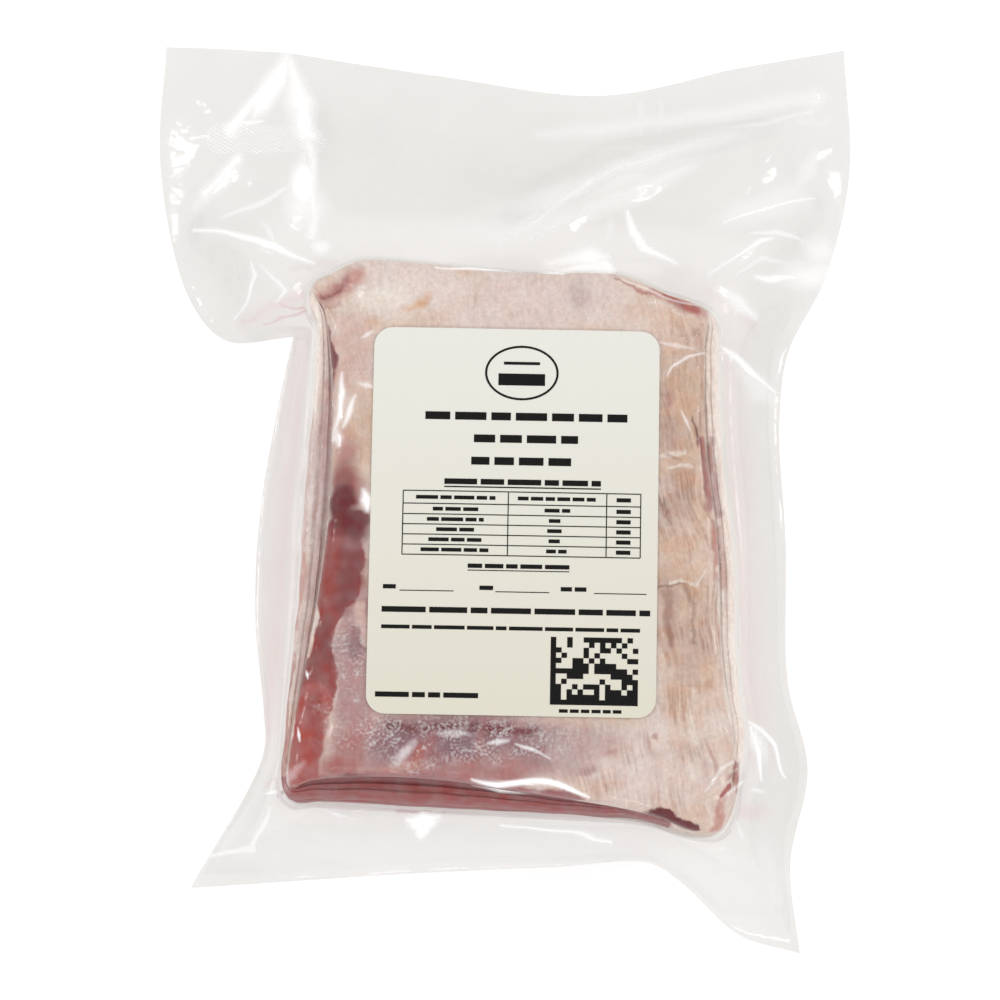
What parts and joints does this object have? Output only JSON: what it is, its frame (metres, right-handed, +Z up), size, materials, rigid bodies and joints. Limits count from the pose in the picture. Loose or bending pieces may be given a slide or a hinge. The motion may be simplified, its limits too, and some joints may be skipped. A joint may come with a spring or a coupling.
{
  "type": "vacuum-packed raw pork loin",
  "caption": "Raw boneless pork loin cut into slabs, stacked and vacuum sealed in a clear bag with a long flap behind and a cream label on top; lies flat on its underside.",
  "frame": {"origin": "on the surface that the pack lies on, under the middle of the bag's box", "axes": "+Y towards the long film flap behind the loin, +Z up out of the labelled face, +X to the right of the label's reader"},
  "size_m": [0.1954, 0.2548, 0.0548],
  "materials": {
    "film": "clear, glossy, slightly milky vacuum film over pale pork fat and lean",
    "label_paper": "smooth cream label stock with a slight sheen"
  },
  "bodies": {
    "root": {"bag": "film", "label": "label_paper"}
  },
  "joints": []
}
